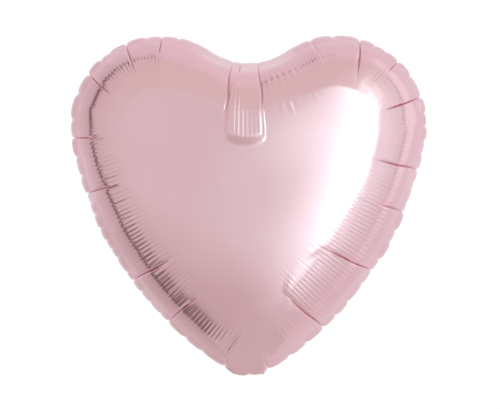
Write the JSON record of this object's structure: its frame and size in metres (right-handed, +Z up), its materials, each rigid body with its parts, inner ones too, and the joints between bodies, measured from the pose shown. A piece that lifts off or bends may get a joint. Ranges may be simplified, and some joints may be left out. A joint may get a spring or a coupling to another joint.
{
  "type": "heart-shaped foil balloon",
  "caption": "Inflated heart-shaped foil balloon with a flat welded seam, a puckered rim, a folded filling tail and a self-sealing film valve.",
  "frame": {"origin": "middle of the fold at the tip of the heart, where the filling tail turns up behind it and a ribbon is tied", "axes": "+X to the right lobe seen from the front, front face towards -Y, +Z up from the tip to the lobes"},
  "size_m": [0.3816, 0.167, 0.3648],
  "materials": {
    "foil": "satin mirror",
    "valve_film": "clear, slightly milky"
  },
  "bodies": {
    "envelope": {"front_foil": "foil", "back_foil": "foil"},
    "tail": {"tail_front_film": "foil", "tail_back_film": "foil", "tail_valve_front": "valve_film", "tail_valve_back": "valve_film"},
    "valve": {"valve_back_film": "valve_film"},
    "valve_flap": {"valve_front_film": "valve_film"}
  },
  "joints": [
    {"name": "tail_fold", "type": "hinge", "parent": "envelope", "child": "tail", "pos_m": [0, 0, 0], "axis": [-1, 0, 0], "range_deg": [0, 130]},
    {"name": "valve_swing", "type": "hinge", "parent": "envelope", "child": "valve", "pos_m": [0, 0, 0.0035], "axis": [1, 0, 0], "range_deg": [-15, 15]},
    {"name": "valve_opening", "type": "hinge", "parent": "valve", "child": "valve_flap", "pos_m": [0, 0, 0.0035], "axis": [1, 0, 0], "range_deg": [0, 6]}
  ]
}
